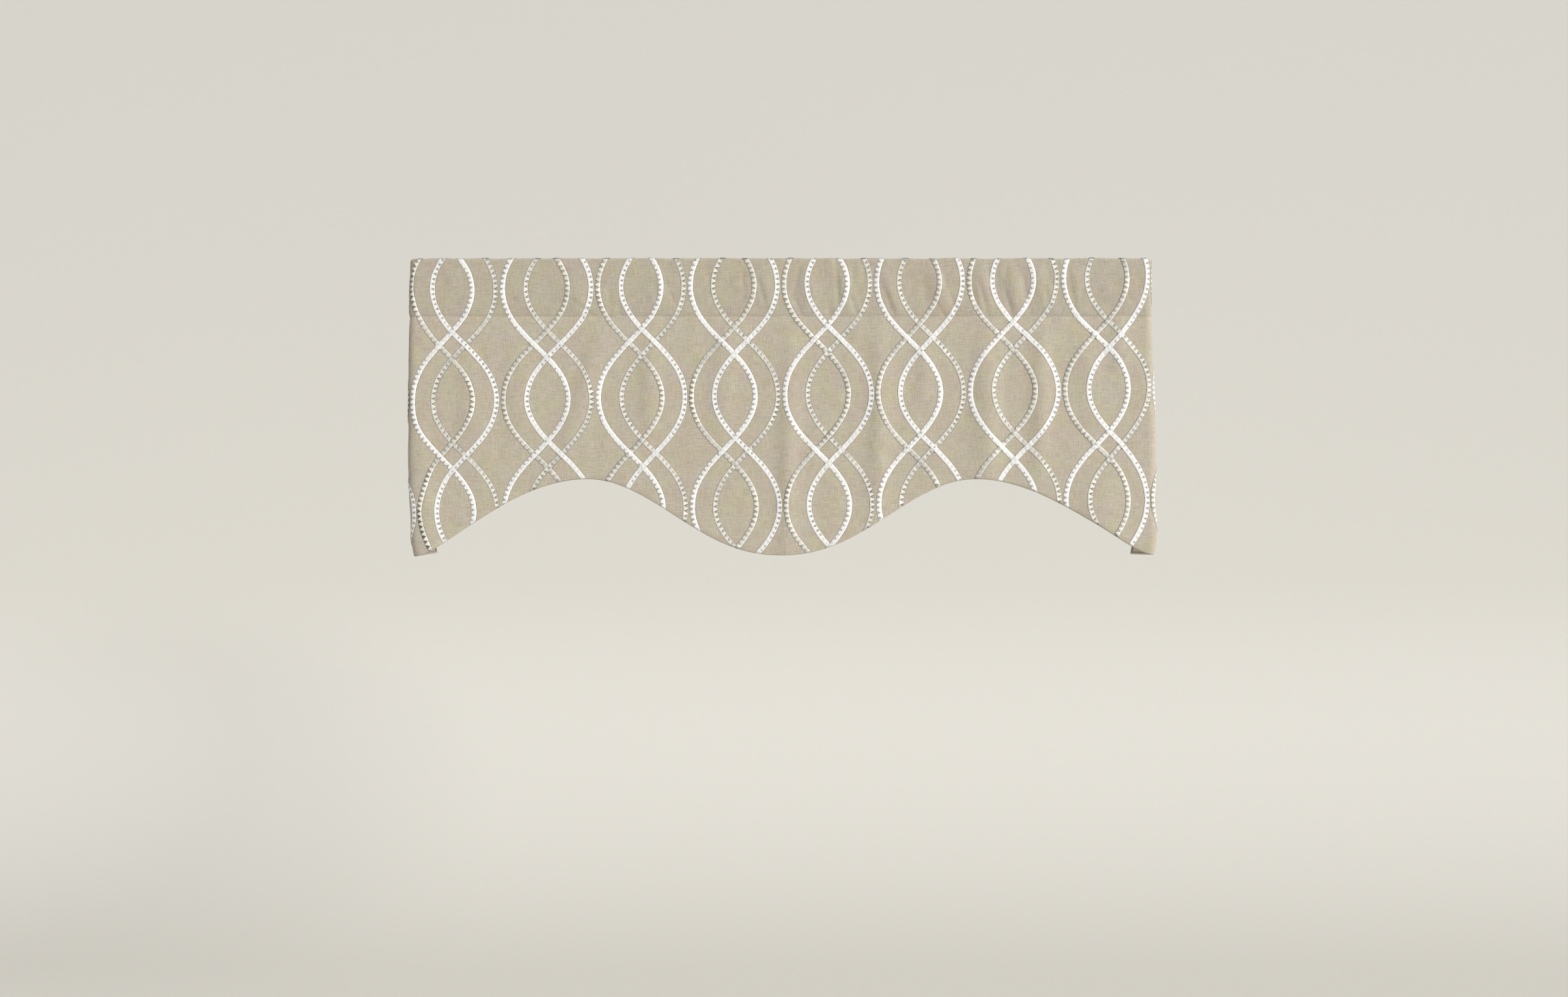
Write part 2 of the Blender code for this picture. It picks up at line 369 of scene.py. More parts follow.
# Yarns to a metre across and down, and how strongly each kind shows
Yarn = namedtuple("Yarn", "across down share")
YARNS = (
    Yarn(70.0, 690.0, 1.0),
    Yarn(690.0, 70.0, 0.9),
    Yarn(640.0, 640.0, 1.1),
    Yarn(30.0, 260.0, 0.22),
    Yarn(260.0, 30.0, 0.22),
    Yarn(75.0, 75.0, 0.05),
)
MOTTLE = (0.04, 0.20, 0.34)  # how far red, green and blue wander
MOTTLE_SCALE = 32.0
MOTTLE_DETAIL = 4.0

SEAM_THREAD = (0.500, 0.450, 0.360)
SEAM_FIBRES = 900.0
SEAM_TONE = 0.8
SEAM_UNEVEN = 0.4

# Strength and distance of each material's bump
CLOTH_BUMP = (0.35, 0.00025)
SATIN_BUMP = (0.3, 0.0001)

# ---- Stage and light ----

BACKDROP = (0.700, 0.685, 0.640)
FLOOR_Z = -2.0
FLOOR_FRONT = -6.0
WALL_Y = 2.6
WALL_TOP = 5.0
STAGE_SIDE = 9.0
BEND = 1.2
BEND_POINTS = 13
LIGHT_TONE = (1.0, 0.99, 0.975)
AMBIENT = 0.41
LIGHT_AIM = (0.0, 0.0, -0.25)
KEY_AT = (7.4, -5.2, 3.5)
KEY_ENERGY = 2.98
KEY_ANGLE = math.radians(25)
FILL_AT = (1.0, -2.2, -1.1)
FILL_SIZE = 1.2
FILL_ENERGY = 4.8

# ---- The photograph's view ----

PIXELS_WIDE = 2408
METRES_PER_PIXEL = 0.000966
CAMERA_AT = Vector((0.0048, -1.0367, -0.3577))
FRONT_PLANE = -0.0067
SENSOR = 36.0

AREA_POINTS = 2001  # how finely a flat cut's area is summed

# ---- Worked out from the sizes above ----

POCKET_OUT = (POCKET_DEPTH - SOLID_THICKNESS) / 2
TOP_DROP = SOLID_THICKNESS / 2
FRONT_HALF = POCKET_WIDTH / 2 - CORNER_RADIUS
BEND_RADIUS = CORNER_RADIUS - POCKET_DEPTH / 2
CORNER_RUN = (BEND_RADIUS + POCKET_OUT) * math.pi / 2
CORNER_END = FRONT_HALF + CORNER_RUN
RETURN_RUN = RETURN_DEPTH - CORNER_RADIUS
WALL_END = CORNER_END + RETURN_RUN
SIDE_START = WALL_END - HEM_ROLL
HALF_ROLL = math.pi * HEM_ROLL
CLOTH_SIDE = SIDE_START + HALF_ROLL + SIDE_TURN
STRAND_END = SIDE_START + HALF_ROLL / 2
LINING_END = WALL_END - LINING_SIDE
ROLL_START = TOP_DROP + TOP_RADIUS
TOP_QUARTER = TOP_RADIUS * math.pi / 2
TOP_FLAT = 2 * (POCKET_OUT - TOP_RADIUS)
FLAP_START = ROLL_START - 2 * TOP_QUARTER - TOP_FLAT
CLOTH_TOP = FLAP_START - (TURN_DROP - ROLL_START)


# ---- The shape of the hung cloth ----


def smooth_rows(at, places, values):
    """A smooth curve through a table's rows, level past both ends."""
    places = np.asarray(places)
    values = np.asarray(values)
    slopes = np.gradient(values, places)
    at = np.clip(at, places[0], places[-1])
    row = np.clip(np.searchsorted(places, at, side="right") - 1, 0, len(places) - 2)
    run = places[row + 1] - places[row]
    t = (at - places[row]) / run
    start = (1 + 2 * t) * (1 - t) ** 2 * values[row] + t * (1 - t) ** 2 * run * slopes[row]
    end = t**2 * (3 - 2 * t) * values[row + 1] + t**2 * (t - 1) * run * slopes[row + 1]
    return start + end


def smooth_step(low, high, at):
    t = np.clip((at - low) / (high - low), 0, 1)
    return t * t * (3 - 2 * t)


def ripples(along, drop, waves, seed):
    """Uneven soft waves, each with a length and direction of its own."""
    rng = np.random.default_rng(seed)
    total = np.zeros(np.broadcast(along, drop).shape)
    lowest, highest = (waves.shortest, 0, 0), (waves.longest, math.pi, TAU)
    for length, angle, phase in rng.uniform(lowest, highest, (waves.count, 3)):
        total += np.sin(TAU * (along * math.cos(angle) + drop * math.sin(angle)) / length + phase)
    return total * math.sqrt(2 / waves.count) * waves.height


def rod_line(along):
    """Points of the rod's centre line in plan, and the outward direction at each."""
    side = np.sign(along)
    reach = np.abs(along)
    turn = np.clip((reach - FRONT_HALF) / CORNER_RUN, 0, 1) * math.pi / 2
    across = np.minimum(reach, FRONT_HALF) + BEND_RADIUS * np.sin(turn)
    back = BEND_RADIUS * (1 - np.cos(turn)) + np.maximum(reach - CORNER_END, 0)
    return side * across, back, side * np.sin(turn), -np.cos(turn)


def side_spread(along, drop):
    """How far the skirt is spread towards its sides."""
    drops = [row.drop for row in SIDES]
    left = smooth_rows(drop, drops, [row.left for row in SIDES])
    right = smooth_rows(drop, drops, [row.right for row in SIDES])
    return np.where(along < 0, left, right) * np.clip(along / FRONT_HALF, -1, 1)


def place(along, out, drop):
    x, y, out_x, out_y = rod_line(along)
    return np.stack([x + out_x * out + side_spread(along, drop), y + out_y * out, -drop], axis=-1)


def fold_rise(folds, along, drop):
    total = np.zeros(np.broadcast(along, drop).shape)
    for fold in folds:
        share = (drop - fold.drop_top) / (fold.drop_low - fold.drop_top)
        crest = fold.along_top + (fold.along_low - fold.along_top) * share
        fade = np.sin(math.pi * np.clip(share, 0, 1))
        total += fold.rise * fade * np.exp(-(((along - crest) / fold.half_width) ** 2))
    return total


def hem_drop(along):
    """The drop of the scalloped lower edge."""
    reach = np.abs(along)
    inner = 1 - np.minimum(reach / ARCH_PEAK, 1) ** LOBE_FULLNESS
    share = np.clip((reach - ARCH_PEAK) / (ARCH_END - ARCH_PEAK), 0, 1)
    outer = END_SLOPE * share + (1 - END_SLOPE) * share**END_POWER
    wave = np.where(reach < ARCH_PEAK, inner, outer)
    rise = ARCH_RISE * (1 + np.cos(math.pi * wave)) / 2
    dip = LEFT_DIP * np.clip((-along - ARCH_END) / LEFT_DIP_RUN + 1, 0, 1)
    sag = RIGHT_SAG * np.maximum(0, (along - ARCH_END) / RETURN_RUN)
    return HEM_DROP - rise + dip + sag


def hem_start(along):
    """The drop, and the down, at which the lower edge begins to turn under."""
    return hem_drop(along) - HEM_ROLL


def cloth_end(along):
    return hem_start(along) + HALF_ROLL + HEM_TURN


def hang_out(along, drop):
    """How far out the face's middle hangs, with all its folds."""
    out = smooth_rows(drop, [row.drop for row in HANGS], [row.out for row in HANGS])
    skirt = smooth_step(SEAM_DROP - SEAM_SOFT, SEAM_DROP + SEAM_SOFT, drop)
    pocket_rise = fold_rise(POCKET_FOLDS, along, drop) + fold_rise(CREASES, along, drop)
    skirt_rise = fold_rise(SKIRT_FOLDS, along, drop)
    uneven = ripples(along, drop, FACE_WAVES, SEED)
    return out + (1 - skirt) * pocket_rise + skirt * skirt_rise + uneven


def cloth_section(along, down):
    """(out, drop) of the face's middle, and the direction in which it faces there."""
    turn = hem_start(along)
    drop = np.clip(down, ROLL_START, turn)
    out = hang_out(along, drop)
    past_hem = np.maximum(down - turn, 0)
    under = np.minimum(past_hem / HEM_ROLL, math.pi)
    out -= HEM_ROLL * (1 - np.cos(under))
    drop = drop + HEM_ROLL * np.sin(under) - (past_hem - under * HEM_ROLL)

    past_top = np.maximum(ROLL_START - down, 0)
    first = np.minimum(past_top / TOP_RADIUS, math.pi / 2)
    flat = np.clip(past_top - TOP_QUARTER, 0, TOP_FLAT)
    second = np.clip((past_top - TOP_QUARTER - TOP_FLAT) / TOP_RADIUS, 0, math.pi / 2)
    flap = np.maximum(past_top - 2 * TOP_QUARTER - TOP_FLAT, 0)
    out -= TOP_RADIUS * (1 - np.cos(first)) + flat + TOP_RADIUS * np.sin(second)
    drop += TOP_RADIUS * (1 - np.cos(second)) + flap - TOP_RADIUS * np.sin(first)
    near_top = 1 - smooth_step(*TOP_WAVE_END, drop)
    drop += near_top * ripples(along, 0.0 * along, TOP_WAVES, SEED + 1)

    over = first + second
    return out, drop, np.cos(under + over), np.sin(under) - np.sin(over)


def turned_side(along, lift):
    """Where the cloth's side edges turn in: the along there, and the depth in from the face."""
    past = np.maximum(np.abs(along) - SIDE_START, 0)
    turn = np.minimum(past / HEM_ROLL, math.pi)
    reach = np.minimum(np.abs(along), SIDE_START) + (HEM_ROLL + lift) * np.sin(turn)
    return np.sign(along) * (reach - past + turn * HEM_ROLL), HEM_ROLL - (HEM_ROLL + lift) * np.cos(turn)


def on_cloth(along, down, lift=0.0):
    """Points of the face, lifted off the middle of its thickness."""
    at, depth = turned_side(along, lift)
    out, drop, facing_out, facing_down = cloth_section(at, down)
    return place(at, out - depth * facing_out, drop - depth * facing_down)


# ---- Meshes ----


def add_object(name, points, faces):
    mesh = bpy.data.meshes.new(name)
    mesh.from_pydata(points.reshape(-1, 3), [], faces)
    mesh.shade_smooth()
    thing = bpy.data.objects.new(name, mesh)
    bpy.context.scene.collection.objects.link(thing)
    return thing


def grid_faces(rows, columns):
    index = np.arange(rows * columns).reshape(rows, columns)
    corners = (index[:-1, :-1], index[:-1, 1:], index[1:, 1:], index[1:, :-1])
    return np.stack(corners, axis=-1).reshape(-1, 4)


def add_cloth(name, points, flat, thickness):
    """A sheet over rows and columns of points, whose UVs are its flat layout in metres."""
    faces = grid_faces(*points.shape[:2])
    sheet = add_object(name, points, faces)
    layout = sheet.data.uv_layers.new(name="cloth")
    layout.data.foreach_set("uv", flat.reshape(-1, 2)[faces.ravel()].ravel())
    solidify = sheet.modifiers.new("Thickness", "SOLIDIFY")
    solidify.thickness = thickness
    solidify.offset = 0.0
    return sheet


def both_sides(half):
    """Places from the left end to the right one, from those of the right half."""
    return np.concatenate([-half[:0:-1], half])


def steps(*stops):
    """Even steps between stops, given as a place and then a number of steps and a place for each stretch."""
    found = [np.array(stops[:1], dtype=float)]
    for start, count, end in zip(stops[0::2], stops[1::2], stops[2::2]):
        found.append(np.linspace(start, end, count + 1)[1:])
    return np.concatenate(found)


def make_face():
    grid = FACE_GRID
    front = steps(0, grid.front, FRONT_HALF, grid.corner, CORNER_END, grid.side, SIDE_START)
    side_turn = steps(SIDE_START, EDGE_ROLL_STEPS, SIDE_START + HALF_ROLL, FLAT_STEPS, CLOTH_SIDE)
    along = both_sides(np.concatenate([front, side_turn[1:]]))
    back_end = FLAP_START + TOP_QUARTER
    back_roll = steps(CLOTH_TOP, FLAT_STEPS, FLAP_START, TOP_ROLL_STEPS, back_end)
    front_roll = steps(back_end, FLAT_STEPS, ROLL_START - TOP_QUARTER, TOP_ROLL_STEPS, ROLL_START)
    seam_top, seam_low = SEAM_DROP - SEAM_BAND[0], SEAM_DROP + SEAM_BAND[1]
    pocket = steps(ROLL_START, POCKET_STEPS, seam_top, SEAM_STEPS, seam_low)
    upper = np.concatenate([back_roll, front_roll[1:], pocket[1:]])
    turn = hem_start(turned_side(along, 0.0)[0])
    skirt = upper[-1] + (turn - upper[-1]) * steps(0, grid.skirt, 1)[1:, None]
    under = turn + steps(0, EDGE_ROLL_STEPS, HALF_ROLL, 1, HALF_ROLL + HEM_TURN)[1:, None]
    down = np.concatenate([np.broadcast_to(upper[:, None], (len(upper), len(along))), skirt, under])
    along = np.broadcast_to(along, down.shape)
    return add_cloth("face_cloth", on_cloth(along, down), np.stack([along, -down], -1), FACE_THICKNESS)


def lining_back(along, drop):
    """How far out the lining's middle lies behind the pocket, down to the seam."""
    tucked = FLAP_TUCK * (1 - smooth_step(TURN_DROP, TURN_DROP + FLAP_FADE, drop))
    behind = -POCKET_OUT + tucked + ripples(along, drop, LINING_WAVES, SEED + 2)
    seam = hang_out(along, SEAM_DROP + 0.0 * along) - LINING_STEP
    return behind + (seam - behind) * smooth_step(*LINING_FORWARD, drop)


def make_lining():
    grid = LINING_GRID
    along = both_sides(steps(0, grid.front, FRONT_HALF, grid.corner, CORNER_END, grid.side, LINING_END))
    upper = steps(LINING_TOP, POCKET_BACK_STEPS, SEAM_DROP)
    back = np.broadcast_to(upper[:, None], (len(upper), len(along)))
    lower = hem_start(along) - LINING_SHORT
    front = SEAM_DROP + (lower - SEAM_DROP) * steps(0, grid.skirt, 1)[1:, None]
    drop = np.concatenate([back, front])
    along = np.broadcast_to(along, drop.shape)
    out = np.where(drop <= SEAM_DROP, lining_back(along, drop), hang_out(along, drop) - LINING_STEP)
    return add_cloth("lining_cloth", place(along, out, drop), np.stack([along, -drop], -1), LINING_THICKNESS)


# ---- Embroidery ----

Strand = namedtuple("Strand", "centre mirror phase white")


def strands():
    found = []
    for column in range(COLUMNS):
        for mirror in (1, -1):
            for phase in (1, -1):
                white = (phase == 1) == (column % 2 == 1)
                found.append(Strand(FIRST_CENTRE + column * COLUMN_PITCH, mirror, phase, white))
    return found


def strand_at(strand, angle):
    """(along, down) of a strand's middle where its wave has that angle."""
    swing = STRAND_SWING * np.cos(angle) - SWING_THIRD * np.cos(3 * angle)
    reach = STRAND_OFFSET + strand.phase * swing - SWING_SECOND * np.cos(2 * angle)
    x = strand.centre + strand.mirror * reach
    down = MIDDLE_DROP - ROW_SLOPE * x + STRAND_PERIOD * angle / TAU
    shift = smooth_rows(x, [row.x for row in SHIFTS], [row.amount for row in SHIFTS])
    shift = shift + LEAN * (down - LEAN_LEVEL)
    drops = [row.drop for row in DRIFTS]
    left = smooth_rows(down, drops, [row.left for row in DRIFTS])
    right = smooth_rows(down, drops, [row.right for row in DRIFTS])
    drift = np.where(x < 0, left, -right) * smooth_step(DRIFT_START, DRIFT_FULL, np.abs(x))
    return x + shift + drift - side_spread(x, down), down


def crossings(strand):
    """The wave angles at which this strand lies over another: where it is the white one, and, of two alike,
    where it is the one that runs down to the left."""
    level = math.acos(-strand.phase * STRAND_OFFSET / STRAND_SWING)
    over = [math.inf]
    for turn in (-TAU, 0, TAU):
        over.append(turn + strand.mirror * strand.phase * level)
        if strand.white:
            over += [turn + math.pi / 2, turn - math.pi / 2]
    return over


def wedge_shape():
    """One wedge: the weights of its apex and its base's two ends at each place, its triangles, and which
    places lie on its base."""
    weights, triangles, number = [], [], {}
    for row in range(WEDGE_STEPS + 1):
        for k in range(row + 1):
            number[row, k] = len(weights)
            weights.append((WEDGE_STEPS - row, row - k, k))
    for row in range(WEDGE_STEPS):
        for k in range(row + 1):
            triangles.append((number[row, k], number[row + 1, k], number[row + 1, k + 1]))
            if k < row:
                triangles.append((number[row, k], number[row + 1, k + 1], number[row, k + 1]))
    rim = [number[WEDGE_STEPS, k] for k in range(WEDGE_STEPS + 1)]
    foot = [len(weights) + k for k in range(WEDGE_STEPS + 1)]
    for k in range(WEDGE_STEPS):
        triangles += [(rim[k], foot[k], foot[k + 1]), (rim[k], foot[k + 1], rim[k + 1])]
    return np.array(weights) / WEDGE_STEPS, np.array(triangles), rim


def rounded(distance, width):
    """0 to 1 within that width of an edge, rounded as a satin stitch is."""
    return np.sqrt(1 - (1 - np.clip(distance / width, 0, 1)) ** 2)


def slow_noise(run, wander, rng):
    """A smooth random curve with a new value each time the run grows by the wander's own."""
    knots = rng.normal(0, 1, int(run[-1] / wander.run) + 3)
    return wander.amount * smooth_rows(run, np.arange(len(knots)) * wander.run, knots)


def strand_line(strand):
    """Wave angles along a strand's middle, the places there, and the run to each."""
    angles = np.linspace(FIRST_ANGLE, LAST_ANGLE, LINE_POINTS)
    line = np.stack(strand_at(strand, angles), -1)
    return angles, line, np.concatenate([[0], np.cumsum(np.hypot(*np.diff(line, axis=0).T))])


def strand_rungs(strand, line, run_along, rng):
    """The corners of a strand's zigzag: the run to each, the strand's heading and the way to its right there,
    the side that the corner is on, and its place."""
    rungs = np.arange(WEDGE_PITCH, run_along[-1] - WEDGE_PITCH, WEDGE_PITCH / 2)
    rungs = rungs + rng.normal(0, UNEVEN_RUNG, len(rungs))
    middle = np.stack([np.interp(rungs, run_along, line[:, 0]), np.interp(rungs, run_along, line[:, 1])], -1)
    heading = np.gradient(middle, rungs, axis=0)
    heading /= np.hypot(*heading.T)[:, None]
    right = np.stack([heading[:, 1], -heading[:, 0]], -1)
    side = np.where(np.arange(len(rungs)) % 2 == 0, -strand.mirror, strand.mirror)
    half_width = STRAND_WIDTH / 2 + rng.normal(0, UNEVEN_RUNG, len(rungs))
    return rungs, heading, right, side, middle + right * (side * half_width)[:, None]


def wedge_height(to_side, to_base):
    crown = rounded(to_side, SIDE_ROUND) * rounded(to_base, BASE_ROUND)
    return PAD_EDGE + (PAD_RUNG - PAD_EDGE) * rounded(to_base, EDGE_ROUND) + (PAD_TOP - PAD_RUNG) * crown


def kept_on_cloth(flat, lift):
    """Flat places moved in to the cloth's edges where they lie past them, and a lift that fades out there."""
    along = np.clip(flat[..., 0], -STRAND_END, STRAND_END)
    lowest = hem_start(turned_side(along, 0.0)[0]) + HALF_ROLL / 2
    down = np.clip(flat[..., 1], CLOTH_TOP, lowest)
    to_end = np.minimum(STRAND_END - np.abs(along), np.minimum(lowest - down, down - CLOTH_TOP))
    return np.stack([along, down], -1), PAD_FOOT + (lift - PAD_FOOT) * smooth_step(0, END_FADE, to_end)


def wedge_faces(triangles, flat, side):
    """The triangles of a strand's wedges, all facing out, less those that the cloth's edges flatten."""
    faces = triangles + (np.arange(len(flat)) * flat.shape[1])[:, None, None]
    left_apex = side < 0
    faces[left_apex] = faces[left_apex][:, :, ::-1]
    faces = faces.reshape(-1, 3)
    corners = flat.reshape(-1, 2)[faces]
    area = np.cross(corners[:, 1] - corners[:, 0], corners[:, 2] - corners[:, 0])
    return faces[np.abs(area) > SMALLEST_AREA]


def make_strand(strand, rng):
    """Points, triangles and thread values of one strand, whose zigzag of satin wedges lies on the cloth."""
    thread = WHITE if strand.white else SILVER
    angles, line, run_along = strand_line(strand)
    rungs, heading, right, side, corners = strand_rungs(strand, line, run_along, rng)
    weights, triangles, rim = wedge_shape()
    wedges = np.arange(1, len(rungs) - 1)[:, None] + np.array([[0, -1, 1]])
    run_at = rungs[wedges] @ weights.T
    outward = (weights @ right[wedges]) * -side[1:-1, None, None]
    bow = np.where(np.arange(len(wedges)) % 2 == 0, BULGE, -thread.hollow)[:, None]
    bow = bow * (4 * weights[:, 1] * weights[:, 2])
    flat = weights @ corners[wedges] + outward * bow[..., None]
    flat = np.concatenate([flat, flat[:, rim] + outward[:, rim] * FOOT_WIDTH], axis=1)

    altitude = STRAND_WIDTH * WEDGE_PITCH / math.hypot(WEDGE_PITCH / 2, STRAND_WIDTH)
    to_lower, to_upper = weights[:, 1] * altitude, weights[:, 2] * altitude
    to_side, to_base = np.minimum(to_lower, to_upper), weights[:, 0] * STRAND_WIDTH
    crossed = np.interp(crossings(strand), angles, run_along, right=math.inf)
    nearest = np.abs(run_at[:, :, None] - crossed).min(axis=-1)
    over = LAYER_LIFT * (1 - smooth_step(LIFT_FLAT, LIFT_FLAT + LIFT_RAMP, nearest))
    foot = np.full((len(flat), len(rim)), PAD_FOOT)
    flat, lift = kept_on_cloth(flat, np.concatenate([wedge_height(to_side, to_base) + over, foot], axis=1))
    points = on_cloth(flat[..., 0], flat[..., 1], FACE_THICKNESS / 2 + lift)

    colour, core = thread_values(thread, flat, heading[1:-1], run_at[:, 0], rng)
    # The foot carries the painted outline shadow
    edge = np.zeros(flat.shape[:2])
    edge[:, len(weights) :] = 1
    inside = np.minimum(to_side, to_base + BASE_MARGIN)
    stitch = np.stack(np.broadcast_arrays(run_at, to_upper, inside), -1)
    stitch = np.concatenate([stitch, stitch[:, rim]], axis=1) / MM
    return points, wedge_faces(triangles, flat, side[1:-1]), colour, core, edge, stitch


def painted_left_shade(thread, apex, heading):
    """How much painted shade darkens the dull wedges towards the left, which white ones get only where they
    run rightward.
    """
    left = -apex[:, 0]
    low_left = smooth_step(*LOW_LEFT, left) * smooth_step(*LOW_DROP, apex[:, 1])
    amount = np.maximum(low_left, smooth_step(*FAR_LEFT, left))
    if thread == WHITE:
        amount = amount * smooth_step(*RIGHTWARD, heading[:, 0])
    return amount


def thread_values(thread, flat, heading, run, rng):
    """Each place's thread colour, with its sheen painted in, and the size of its wedge's core of painted
    shade.
    Satin shines where its threads cross the light, so wedges are painted bright and dull in turn, and more
    alike where the strand slants."""
    bright, dull = np.array(thread.dye.bright), np.array(thread.dye.dull)
    slant = smooth_step(*SLANTING, np.abs(heading[:, 0]))
    leftward = smooth_step(*SLANTING, -heading[:, 0])
    contrast = 1 - SLANT_EVEN * slant + slow_noise(run, CONTRAST_WANDER, rng)
    # Painted sheen: every second wedge bright, the others dull
    even = np.arange(len(flat)) % 2 == 0
    middle = BRIGHT_SHARE * bright + (1 - BRIGHT_SHARE) * dull
    colour = middle + np.where(even[:, None], bright - middle, dull - middle) * contrast[:, None]
    level = 1 + thread.uneven * (rng.normal(0, 1, len(flat)) + slow_noise(run, LEVEL_WANDER, rng))
    # The painted sheen dulls where the strand slants and where it runs down to the left
    colour = colour * (level * (1 - SLANT_DULL * slant - LEFT_DULL * leftward))[:, None]

    size = thread.core_size - SLANT_CORE * slant + LEFT_CORE * leftward
    size = size + slow_noise(run, CORE_WANDER, rng) + CORE_UNEVEN * rng.normal(0, 1, len(flat))
    size = np.clip(size, SMALLEST_CORE, 1) + LEFT_CORES * painted_left_shade(thread, flat[:, 0], heading)
    core = np.where(even, 0.0, size)
    # Painted shade where the strand goes over the top edge and down at the hem
    down = flat[..., 1]
    over_top = smooth_step(*TOP_DARK, down) - smooth_step(*TOP_LIGHT, down)
    at_hem = HEM_SHARE * smooth_step(*HEM_DARK, down - hem_start(flat[..., 0]))
    shade = 1 - thread.end_shade * np.maximum(over_top, at_hem)
    return colour[:, None, :] * shade[..., None], core[:, None] * np.ones(down.shape)


def add_values(piece, name, kind, key, values):
    piece.data.attributes.new(name, kind, "POINT").data.foreach_set(key, values.ravel())


def make_embroidery(name, white):
    rng = np.random.default_rng(SEED + 3 + white)
    made = []
    count = 0
    for strand in strands():
        if strand.white == white:
            points, faces, *values = make_strand(strand, rng)
            made.append((points.reshape(-1, 3), faces + count, *values))
            count += points.shape[0] * points.shape[1]
    points, faces, colour, core, edge, stitch = (np.concatenate(parts) for parts in zip(*made))
    used, faces = np.unique(faces, return_inverse=True)
    piece = add_object(name, points[used], faces.reshape(-1, 3))
    colour = np.c_[colour.reshape(-1, 3), np.ones(count)]
    add_values(piece, "thread", "FLOAT_COLOR", "color", colour[used])
    add_values(piece, "core", "FLOAT", "value", core.reshape(-1)[used])
    add_values(piece, "edge", "FLOAT", "value", edge.reshape(-1)[used])
    add_values(piece, "stitch", "FLOAT_VECTOR", "vector", stitch.reshape(-1, 3)[used])
    return piece


# ---- Stitches of the seams ----


def stitch_shape():
    """Points (along, up, across) and triangles of one stitch, a unit long, high and wide to each side."""
    shape = bmesh.new()
    bmesh.ops.create_uvsphere(shape, u_segments=STITCH_SEGMENTS, v_segments=STITCH_RINGS, radius=1)
    bmesh.ops.triangulate(shape, faces=shape.faces)
    shape.verts.index_update()
    points = np.array([(point.co.z, point.co.y, -point.co.x) for point in shape.verts])
    faces = np.array([[point.index for point in face.verts] for face in shape.faces])
    shape.free()
    return points, faces


def make_stitches():
    """The seam's stitches on both sides of the cloth, and those of the turned edge behind the pocket."""
    shape, faces = stitch_shape()
    reach = SIDE_START - STITCHES_END
    middles = np.arange(-reach, reach, STITCH_PITCH)
    along = middles[:, None] + shape[:, 0] * STITCH_LENGTH / 2
    across = shape[:, 2] * STITCH_WIDTH / 2
    lift = shape[:, 1] * STITCH_HEIGHT / 2
    face_half = FACE_THICKNESS / 2
    front = on_cloth(along, SEAM_DROP + across, face_half + lift)
    seam_out = hang_out(along, SEAM_DROP + 0.0 * along) - LINING_STEP - LINING_THICKNESS / 2
    back = place(along, seam_out + lift, SEAM_DROP + across + 0.0 * along)
    flap = on_cloth(along, CLOTH_TOP + FLAP_STITCH + across, face_half + lift)
    points = np.concatenate([front, back, flap])
    starts = np.arange(len(points)) * len(shape)
    return add_object("seam_stitches", points, (faces[None] + starts[:, None, None]).reshape(-1, 3))


# ---- Materials ----


def add_node(tree, kind, inputs, **settings):
    """A node with its settings, and its inputs either linked or given a value."""
    node = tree.nodes.new(kind)
    for name, value in settings.items():
        setattr(node, name, value)
    for key, value in inputs.items():
        if isinstance(value, bpy.types.NodeSocket):
            tree.links.new(value, node.inputs[key])
        else:
            node.inputs[key].default_value = value
    return node


def maths(tree, operation, *values):
    return add_node(tree, "ShaderNodeMath", dict(enumerate(values)), operation=operation).outputs[0]


def noise(tree, vector, scale):
    return add_node(tree, "ShaderNodeTexNoise", {"Vector": vector, "Scale": scale}).outputs[0]


def ramp(tree, value, low, high, start, end):
    inputs = {"Value": value, "From Min": low, "From Max": high, "To Min": start, "To Max": end}
    return add_node(tree, "ShaderNodeMapRange", inputs).outputs[0]


def scaled(tree, colour, amount):
    return add_node(tree, "ShaderNodeVectorMath", {0: colour, "Scale": amount}, operation="SCALE").outputs[0]


def set_bump(tree, shader, height, size):
    strength, distance = size
    bump = add_node(tree, "ShaderNodeBump", {"Height": height, "Strength": strength, "Distance": distance})
    tree.links.new(bump.outputs[0], shader.inputs["Normal"])


def new_material(name, roughness, sheen, specular):
    material = bpy.data.materials.new(name)
    material.use_nodes = True
    shader = material.node_tree.nodes["Principled BSDF"]
    shader.inputs["Roughness"].default_value = roughness
    shader.inputs["Sheen Weight"].default_value = sheen
    shader.inputs["Sheen Roughness"].default_value = 0.5
    shader.inputs["Specular IOR Level"].default_value = specular
    return material, material.node_tree, shader


def yarn_shades(tree, layout):
    """How far the yarns of every kind are thicker or thinner there, about 0."""
    shades = 0.0
    for yarn in YARNS:
        scale = (yarn.across, yarn.down, 1.0)
        stretched = add_node(tree, "ShaderNodeMapping", {"Vector": layout, "Scale": scale}).outputs[0]
        centred = maths(tree, "SUBTRACT", noise(tree, stretched, 1.0), 0.5)
        shades = maths(tree, "MULTIPLY_ADD", centred, yarn.share, shades)
    return shades


def mottled(tree, layout, colour):
    """The colour with its red, green and blue wandering a little."""
    inputs = {"Vector": layout, "Scale": MOTTLE_SCALE, "Detail": MOTTLE_DETAIL}
    mottle = add_node(tree, "ShaderNodeTexNoise", inputs).outputs[1]
    even = tuple(1 - amount / 2 for amount in MOTTLE)
    tint = add_node(tree, "ShaderNodeVectorMath", {0: mottle, 1: MOTTLE, 2: even}, operation="MULTIPLY_ADD")
    tinted = add_node(tree, "ShaderNodeVectorMath", {0: tint.outputs[0], 1: colour}, operation="MULTIPLY")
    return tinted.outputs[0]


